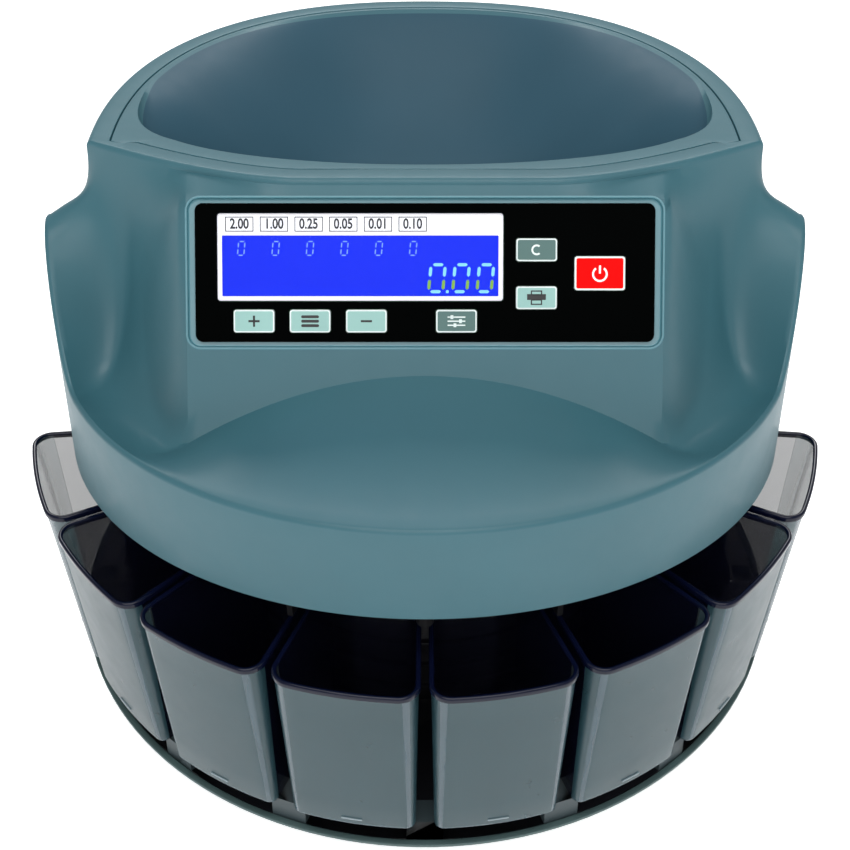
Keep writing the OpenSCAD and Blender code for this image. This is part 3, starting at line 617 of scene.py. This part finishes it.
def mouth_reach(d, edge):
    """Mouth of the bowl: a rounded front edge that opens out to the flange at the sides and behind."""
    across, along = abs(d.x) / MOUTH_HALF, abs(d.y) / (BOWL.y + MOUTH_FRONT)
    front = (across ** 2.2 + along ** 2.2) ** (-1 / 2.2)
    return mix(min(front, edge - 4), edge - 1.5, smooth(-0.3, 0.3, d.y))


def bowl_rise(t, d):
    """Share of the depth reached at a share of the way out: steep in front, soft at the sides."""
    soft = 1 - (1 - t ** 1.8) ** mix(1.9, 1.1, smooth(0.5, 1, d.y))
    return mix(1 - (1 - t ** 2.2) ** 0.6, soft, smooth(-0.3, 0.3, d.y))


def hopper():
    """The bowl insert: floor edge, flowing walls, rounded mouth and flange with a parting line round it."""
    columns = []
    for c in shell_columns(20, 40, 60):
        f = tower_point(c, RIM_WIDTH + 0.5)
        d = (f - BOWL).normalized()
        edge = (f - BOWL).length
        low, high = floor_reach(d), mouth_reach(d, edge)
        lip = MOUTH_ROUND * (1 - smooth(-0.3, 0.1, d.y)) + 0.05
        points = []
        for k in range(49):
            t = k / 48
            p = BOWL + d * mix(low, high, t)
            points.append((p.x, p.y, mix(floor_height(d), top_at(p.y) - 0.3 - lip, bowl_rise(t, d))))
        for a in quarter(5)[1:]:
            p = BOWL + d * (high + lip * (1 - cos(a)))
            points.append((p.x, p.y, top_at(p.y) - 0.3 - lip * (1 - sin(a))))
        for back, drop in ((0.9, 0.1), (0.3, 0.15), (0, 0.5), (0, 3.4)):
            q = BOWL + d * (edge - back)
            points.append((q.x, q.y, top_at(q.y) - drop))
        for k in range(12, -1, -1):
            t = k / 12
            p = BOWL + d * (mix(low, high, t) + t ** 1.5)
            upper = mix(floor_height(d), top_at(p.y) - 0.5, bowl_rise(t, d))
            points.append((p.x, p.y, upper - mix(2.4, 3.9, t)))
        columns.append(points)
    points, faces = loft(around(columns), closed=True)
    across = len(faces) // len(columns[0])
    # The first 47 strips up the bowl's walls take the darker copy as painted shade; the mouth, flange and
    # underside keep the housing plastic.
    slots = [int(f // across < 47) for f in range(len(faces))]
    bowl = make("hopper_shell", points, faces, ["housing", "bowl"], slots, sharp=40)
    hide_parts("hopper_bowl")


# ---------------------------------------------------------------- coin cups

CUP_RIM_Z = 112
CUP_RIM_R = 177.5
CUP_FLOOR_Z = 18.3
CUP_FLOOR_R = 167.3
CUP_BACK_R = 97
CUP_GAP = 1.5  # half the gap between two cups' rims
CUP_DRAFT = 1.6
CUP_MARK_Z = 23.5
CUP_SIDE_COLUMNS = 10
# Columns of the corner turns and levels of the foot, which take the painted highlight.
CUP_TURN_HIGHLIGHT_COLUMNS = (15, 16)
CUP_FOOT_HIGHLIGHT_LEVELS = 5
# Inside levels of the front wall, which take the painted light.
CUP_LIT_INSIDE_LEVELS = 12
HALF_PITCH = radians(PITCH / 2)


def cup_front(z):
    """Radius of a cup's front at a height, at its lip's outside."""
    return mix(CUP_FLOOR_R, CUP_RIM_R, (z - CUP_FLOOR_Z) / (CUP_RIM_Z - CUP_FLOOR_Z))


def cup_outline(z, inset, front_round, back_round):
    """Outline of a cup at a height, as (tangent, radial) points; inset moves all four walls inwards."""
    gap = CUP_GAP + CUP_DRAFT * (CUP_RIM_Z - z) / 94 + inset
    front = cup_front(z) - inset
    back = CUP_BACK_R + inset

    def crossing(r):
        half = HALF_PITCH - asin(gap / r)
        return Vector((r * sin(half), r * cos(half))), half

    def rounded(corner, a, b, steps):
        return [bezier(a, a.lerp(corner, 0.55), b.lerp(corner, 0.55), b, i / steps) for i in range(steps + 1)]

    along = Vector((tan(HALF_PITCH), 1)).normalized()
    back_corner, back_half = crossing(back)
    front_corner, front_half = crossing(front)
    back_turn, front_turn = back_round / back, front_round / front
    on_back = Vector((back * sin(back_half - back_turn), back * cos(back_half - back_turn)))
    on_front = Vector((front * sin(front_half - front_turn), front * cos(front_half - front_turn)))
    side_back, side_front = back_corner + along * back_round, front_corner - along * front_round
    right = rounded(back_corner, on_back, side_back, 6)
    right += [side_back.lerp(side_front, k / 4) for k in range(1, 4)]
    right += rounded(front_corner, side_front, on_front, 8)
    arc = front_half - front_turn
    right += [front * Vector((sin(arc * (1 - k / 6)), cos(arc * (1 - k / 6)))) for k in range(1, 6)]
    left = [Vector((-p.x, p.y)) for p in reversed(right)]
    return right + [Vector((0, front))] + left


def cup_azimuth(i):
    """Direction of a cup from the machine's axis, 0 in front."""
    return radians((i - (CUPS + 1) / 2) * PITCH)


def turned(across, out, azimuth, z):
    """Point across and out from a cup's middle line, turned to the cup's place."""
    return (across * cos(azimuth) + out * sin(azimuth), across * sin(azimuth) - out * cos(azimuth), z)


def coin_cup(i):
    """Translucent cup: outside, rolled lip and inside as one loft, with a look for each part."""
    azimuth = cup_azimuth(i)
    levels = [(CUP_FLOOR_Z, 2.8, "smoke")]
    levels += [(CUP_FLOOR_Z + 2 * (1 - cos(a)), 0.8 + 2 * (1 - sin(a)), "front") for a in quarter(4)]
    levels += [(mix(CUP_FLOOR_Z + 2, CUP_RIM_Z - 4, k / 6), 0.8, "front") for k in range(1, 7)]
    levels += [(CUP_RIM_Z - 3.4, 0.75, "front"), (CUP_RIM_Z - 3, 0.3, "edge"), (CUP_RIM_Z - 2.6, 0, "edge")]
    levels += [(CUP_RIM_Z - 1 + sin(a), 1 - cos(a), "edge") for a in quarter(4)]
    levels += [(CUP_RIM_Z - 0.8 + 0.8 * cos(a), 1.3 + sin(a) * 0.8, "edge") for a in quarter(4)]
    levels += [(mix(CUP_RIM_Z - 3, CUP_FLOOR_Z + 5, k / 6), 2.1, "smoke") for k in range(7)]
    levels += [(CUP_FLOOR_Z + 5 - 3 * sin(a), 2.1 + 3 * (1 - cos(a)), "smoke") for a in quarter(4)[1:]]
    rings = []
    for z, inset, _ in levels:
        turn = mix(5, 9, (z - CUP_FLOOR_Z) / (CUP_RIM_Z - CUP_FLOOR_Z))
        outline = cup_outline(z, inset, max(1.5, turn - inset), max(1.2, 6 - inset))
        rings.append([turned(p.x, p.y, azimuth, z) for p in outline])
    points, faces = loft(rings)
    n = len(rings[0])
    looks = ["cup_front", "smoke_plastic", "cup_edge", "cup_corner", "cup_inner"]
    front, smoke, edge, corner, inner = range(len(looks))
    looks_by_part = {"front": front, "smoke": smoke, "edge": edge}
    slots = []
    for k, (_, _, part) in enumerate(levels[1:]):
        for j in range(n):
            look = looks_by_part[part]
            column = min(j, n - 2 - j)
            # The inside of the front wall takes the pale copy as painted light.
            if look == smoke and column >= CUP_SIDE_COLUMNS and k >= len(levels) - CUP_LIT_INSIDE_LEVELS:
                look = inner
            elif look == front and column < CUP_SIDE_COLUMNS:
                look = smoke
            # Corner turns and the foot of the front take the painted highlight.
            elif look == front and (column in CUP_TURN_HIGHLIGHT_COLUMNS or k < CUP_FOOT_HIGHLIGHT_LEVELS):
                look = corner
            slots.append(look)
    slots += [smoke, smoke]
    cup = make(f"cup_{i}", points, faces, looks, slots, body=f"cup_{i}", slot="smoke_plastic")
    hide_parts(f"coin_cup_{i}")


def cup_mark(i):
    """Small raised bar low on the front of a cup."""
    azimuth = cup_azimuth(i)
    rings = []
    for grow, out in ((0, -0.3), (0, 0.35), (-0.3, 0.55)):
        ring = []
        for x, z in rounded_rect(9 + 2 * grow, 0.75 + grow, 0.2, steps=3):
            z += CUP_MARK_Z
            front = cup_front(z) - 0.8 + out
            ring.append(turned(x, sqrt(front * front - x * x), azimuth, z))
        rings.append(ring)
    make(f"cup_mark_{i}", *loft(rings), ["cup_mark"], body=f"cup_{i}", slot="smoke_plastic")


# ---------------------------------------------------------------- control panel

def panel_plate():
    """Black overlay plate with holes for the display and the keys."""
    w, h, r = PLATE
    plate = facet_pad("panel_plate", lambda i: rounded_rect(w - 2 * i, h - 2 * i, r - i, steps=8), -1.15, 0.3,
                      ["panel_black"], slot="panel_black")
    holes = [(DISPLAY[0], DISPLAY[1], DISPLAY[2] + 0.4, DISPLAY[3] + 0.4, 1.5)]
    holes += [(x, y, size[0] + 0.7, size[1] + 0.7, 1.2) for x, y, size, _ in KEYS.values()]
    for x, y, w, h, r in holes:
        rings = [[on_facet(px, py, z) for px, py in rounded_rect(w, h, r, x, y)] for z in (-5, 5)]
        cut(plate, make("cutter", *loft(rings), ["panel_black"]))
    plate.data.shade_smooth()
    plate.data.set_sharp_from_angle(angle=radians(32))
    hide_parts("control_panel")


def inlay(name, outlines, z, material, body="root", slot="panel_black", thick=0.05):
    """Thin printed shapes on the facet; each outline is a list of (x, y) points."""
    points, faces = [], []
    for outline in outlines:
        p, f = loft([[on_facet(x, y, height) for x, y in outline] for height in (z - 0.02, z + thick)])
        faces += [tuple(k + len(points) for k in face) for face in f]
        points += p
    return make(name, points, faces, [material], body=body, slot=slot)


def bar(x, y, w, h):
    """Rectangle about a point."""
    return [(x - w / 2, y - h / 2), (x + w / 2, y - h / 2), (x + w / 2, y + h / 2), (x - w / 2, y + h / 2)]


def arc_pieces(x, y, r, width, start, end, count=20):
    """Open ring as short quads."""
    pieces = []
    for i in range(count):
        a, b = (radians(mix(start, end, k / count)) for k in (i, i + 1))
        pieces.append([(x + q * cos(t), y + q * sin(t)) for q, t in
                       ((r - width / 2, a), (r + width / 2, a), (r + width / 2, b), (r - width / 2, b))])
    return pieces


def frame_pieces(x, y, w, h, line):
    """Four bars round a rectangle."""
    return [bar(x, y + h / 2, w + line, line), bar(x, y - h / 2, w + line, line), bar(x - w / 2, y, line, h),
            bar(x + w / 2, y, line, h)]


ICONS = {
    "plus": lambda x, y: [bar(x, y, 4.4, 0.85), bar(x, y, 0.85, 4.4)],
    "minus": lambda x, y: [bar(x, y, 4.4, 0.85)],
    "batch": lambda x, y: [rounded_rect(7, 1.15, 0.5, x, y + d, 3) for d in (-1.75, 0, 1.75)],
    "set": lambda x, y: [bar(x, y + d, 7, 0.5) for d in (-1.6, 0.0, 1.6)]
    + [bar(x + dx, y + d, 1.1, 1.5) for dx, d in ((-1.8, 1.6), (1.6, 0), (-0.6, -1.6))],
    "clear": lambda x, y: arc_pieces(x, y, 1.75, 0.75, 50, 310),
    "print": lambda x, y: [bar(x, y + 0.3, 7.4, 2.3)]
    + frame_pieces(x, y + 1.9, 4, 1.5, 0.5) + frame_pieces(x, y - 1.7, 4, 1.7, 0.5),
    "power": lambda x, y: arc_pieces(x, y - 0.3, 2.7, 0.8, 125, 415) + [bar(x, y + 1.5, 0.8, 3.2)],
}


def key(name):
    """Key cap with a pale border, a coloured field and its sign."""
    x, y, (w, h), kind = KEYS[name]
    body = f"{name}_key"
    cap = facet_pad(f"cap_{name}", lambda i: rounded_rect(w - 2 * i, h - 2 * i, 1.1 - i, x, y), -4.2, 0.7,
                    ["key_border"], body=body, slot=f"key_{kind}")
    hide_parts(f"key_{name}")
    border = 0.75 if kind == "red" else 0.6
    field = rounded_rect(w - 2 * border, h - 2 * border, 0.7, x, y)
    inlay(f"field_{name}", [field], 0.7, f"key_{kind}", body, f"key_{kind}", 0.02)
    ink = {"light": "ink_black", "dark": "key_border", "red": "ink_white"}[kind]
    inlay(f"sign_{name}", ICONS[name](x, y), 0.72, ink, body, f"key_{kind}", 0.02)


SEGMENTS = {
    "top": ((0.12, 1), (0.88, 1)), "bottom": ((0.12, 0), (0.88, 0)),
    "upper_left": ((0, 0.93), (0, 0.55)), "upper_right": ((1, 0.93), (1, 0.55)),
    "lower_left": ((0, 0.45), (0, 0.07)), "lower_right": ((1, 0.45), (1, 0.07)),
}


def zero(x, y, w, h, line, names):
    """Slanted seven-segment zero as bars with pointed ends."""
    pieces = []
    for n in names:
        (ax, ay), (bx, by) = SEGMENTS[n]
        a = Vector((x + (ax - 0.5) * w + 0.1 * (ay - 0.5) * h, y + (ay - 0.5) * h))
        b = Vector((x + (bx - 0.5) * w + 0.1 * (by - 0.5) * h, y + (by - 0.5) * h))
        d = (b - a).normalized() * line / 2
        s = Vector((-d.y, d.x))
        pieces.append([tuple(p) for p in (a, a + d - s, b - d - s, b, b - d + s, a + d + s)])
    return pieces


def number(text, x, y, height, z, name):
    """Printed number as a thin mesh on the facet."""
    curve = bpy.data.curves.new(name, "FONT")
    curve.body = text
    curve.size = height * MM
    curve.align_x = "CENTER"
    curve.offset = 0.15 * MM
    curve.align_y = "CENTER"
    text_object = bpy.data.objects.new(name + "_text", curve)
    scene.collection.objects.link(text_object)
    bpy.context.view_layer.update()
    mesh = bpy.data.meshes.new_from_object(text_object.evaluated_get(bpy.context.evaluated_depsgraph_get()))
    bpy.data.objects.remove(text_object)
    for v in mesh.vertices:
        v.co = to_row(on_facet(x + v.co.x / MM * 0.78, y + v.co.y / MM, z))
    mesh.materials.clear()
    mesh.materials.append(MATERIALS["ink_black"])
    obj = bpy.data.objects.new(name, mesh)
    scene.collection.objects.link(obj)
    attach(obj, "root")


def display():
    """White display frame with printed values, the blue field and its digits, under a clear lens."""
    x, y, w, h = DISPLAY
    white = facet_pad("display_frame", lambda i: rounded_rect(w - 0.3 - 2 * i, h - 0.3 - 2 * i, 1.2 - i, x, y),
                      -7.4, -1.3, ["lcd_white"], slot="lcd_white")
    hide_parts("lcd_module")
    inlay("display_field", [rounded_rect(109, 23.9, 0.4, x, y - 3.4)], -1.3, "lcd_blue", slot="lcd_white")
    for k, value in enumerate(("2.00", "1.00", "0.25", "0.05", "0.01", "0.10")):
        cx = -73.1 + 13.65 * k
        inlay(f"label_{k}", frame_pieces(cx, 19.1, 10.8, 5.5, 0.36), -1.3, "ink_black", slot="lcd_white")
        number(value, cx, 19.1, 5.6, -1.2, f"value_{k}")
        digits = zero(-72.4 + 13.55 * k, 9.6, 2.5, 5.4, 0.5, SEGMENTS)
        inlay(f"count_{k}", digits, -1.25, "digit_faint", slot="lcd_white")
    looks = {
        "high": (("top", "upper_left", "upper_right", "bottom"), "digit_pale"),
        "low": (("lower_left", "lower_right"), "digit_green"),
    }
    for k, cx in enumerate((4.7, 14.2, 23.8)):
        for part, (segments, look) in looks.items():
            digit = zero(cx, -2.1, 5.6, 10.6, 1.25, segments)
            inlay(f"total_{part}_{k}", digit, -1.25, look, slot="lcd_white")
    inlay("total_point", [rounded_rect(1.2, 1.2, 0.5, 8.8, -7.4, 4)], -1.25, "digit_pale", slot="lcd_white")
    lens = facet_pad("display_glass", lambda i: rounded_rect(w - 2 * i, h - 2 * i, 1.3 - i, x, y), -1.1, 0.1,
                     ["lens"], edge=0.15, slot="lens")
    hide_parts("display_lens")


# ---------------------------------------------------------------- assembly

POSTS_FROM_R = 150.4
POSTS_FROM_Z = 7

for node in frame["nodes"].values():
    for s in node.material_slots:
        s.material = MATERIALS[s.material.name.split(".")[0]]
frame["nodes"]["coin_chutes"].material_slots[0].material = MATERIALS["deep_black"]

housing_shell()
recess_edge()
hopper()
panel_plate()
for name in KEYS:
    key(name)
display()
for i in range(1, CUPS + 1):
    coin_cup(i)
    cup_mark(i)
for node, width in {
    "base_tray": 0.7, "cup_platform": 0.5, "inner_column": 0.6, "rear_housing": 0.8, "rear_panel": 0.4,
    "power_inlet": 0.5, "switch_frame": 0.5, "power_switch": 0.6, "printer_port": 0.4, "rubber_feet": 0.8,
    "disc_nut": 0.5, "feed_disc": 0.4,
}.items():
    soft = softened(node, width, {"base_tray": "tray_grey"}.get(node))
    if node == "cup_platform":
        soft.data.materials.append(MATERIALS["post_grey"])
        for face in soft.data.polygons:
            centre = soft.matrix_world @ face.center / MM
            if hypot(centre.x, centre.y - AXIS_Y) > POSTS_FROM_R and centre.z > POSTS_FROM_Z:
                face.material_index = 1


# ---------------------------------------------------------------- camera, floor and light

camera = bpy.data.objects.new("camera", bpy.data.cameras.new("camera"))
camera.data.lens = 77.41
camera.data.sensor_width = 36
camera.location = (0, -0.6386, 0.6402)
camera.rotation_euler = (radians(90 - 39.73), 0, 0)
scene.collection.objects.link(camera)
scene.camera = camera

floor = bpy.data.objects.new("floor", bpy.data.meshes.new("floor"))
floor.data.from_pydata([(-6, -6, 0), (6, -6, 0), (6, 6, 0), (-6, 6, 0)], [], [(0, 1, 2, 3)])
floor.data.materials.append(finish("floor", srgb(250, 250, 250), 0.9, grain=(60, 0.0), vary=0.004,
                                   Emission_Color=srgb(255, 255, 255), Emission_Strength=0.65))
scene.collection.objects.link(floor)

world = bpy.data.worlds.new("studio")
world.use_nodes = True
world.node_tree.nodes["Background"].inputs["Color"].default_value = (1, 1, 1, 1)
world.node_tree.nodes["Background"].inputs["Strength"].default_value = 0.38
scene.world = world
scene.view_settings.view_transform = "Standard"
scene.cycles.transparent_max_bounces = 32


def area_light(name, place, target, size, power):
    """Rectangular light at a place, turned to a target, in metres and watts."""
    data = bpy.data.lights.new(name, "AREA")
    data.shape = "RECTANGLE"
    data.size, data.size_y = size
    data.energy = power
    light = bpy.data.objects.new(name, data)
    light.location = place
    light.rotation_euler = (Vector(target) - Vector(place)).to_track_quat("-Z", "Y").to_euler()
    scene.collection.objects.link(light)


area_light("front", (0, -1.4, 1.3), (0, 0, 0.12), (1.3, 0.9), 10)
area_light("left", (-1.4, -0.6, 0.9), (0, 0, 0.12), (0.7, 0.9), 1.1)
area_light("right", (1.4, -0.6, 0.9), (0, 0, 0.12), (0.7, 0.9), 1.7)
area_light("overhead", (0, -0.45, 1.6), (0, 0, 0.2), (1.2, 0.5), 10)
area_light("rear", (0, 1.15, 1.15), (0, 0, 0.25), (1.2, 0.3), 10)
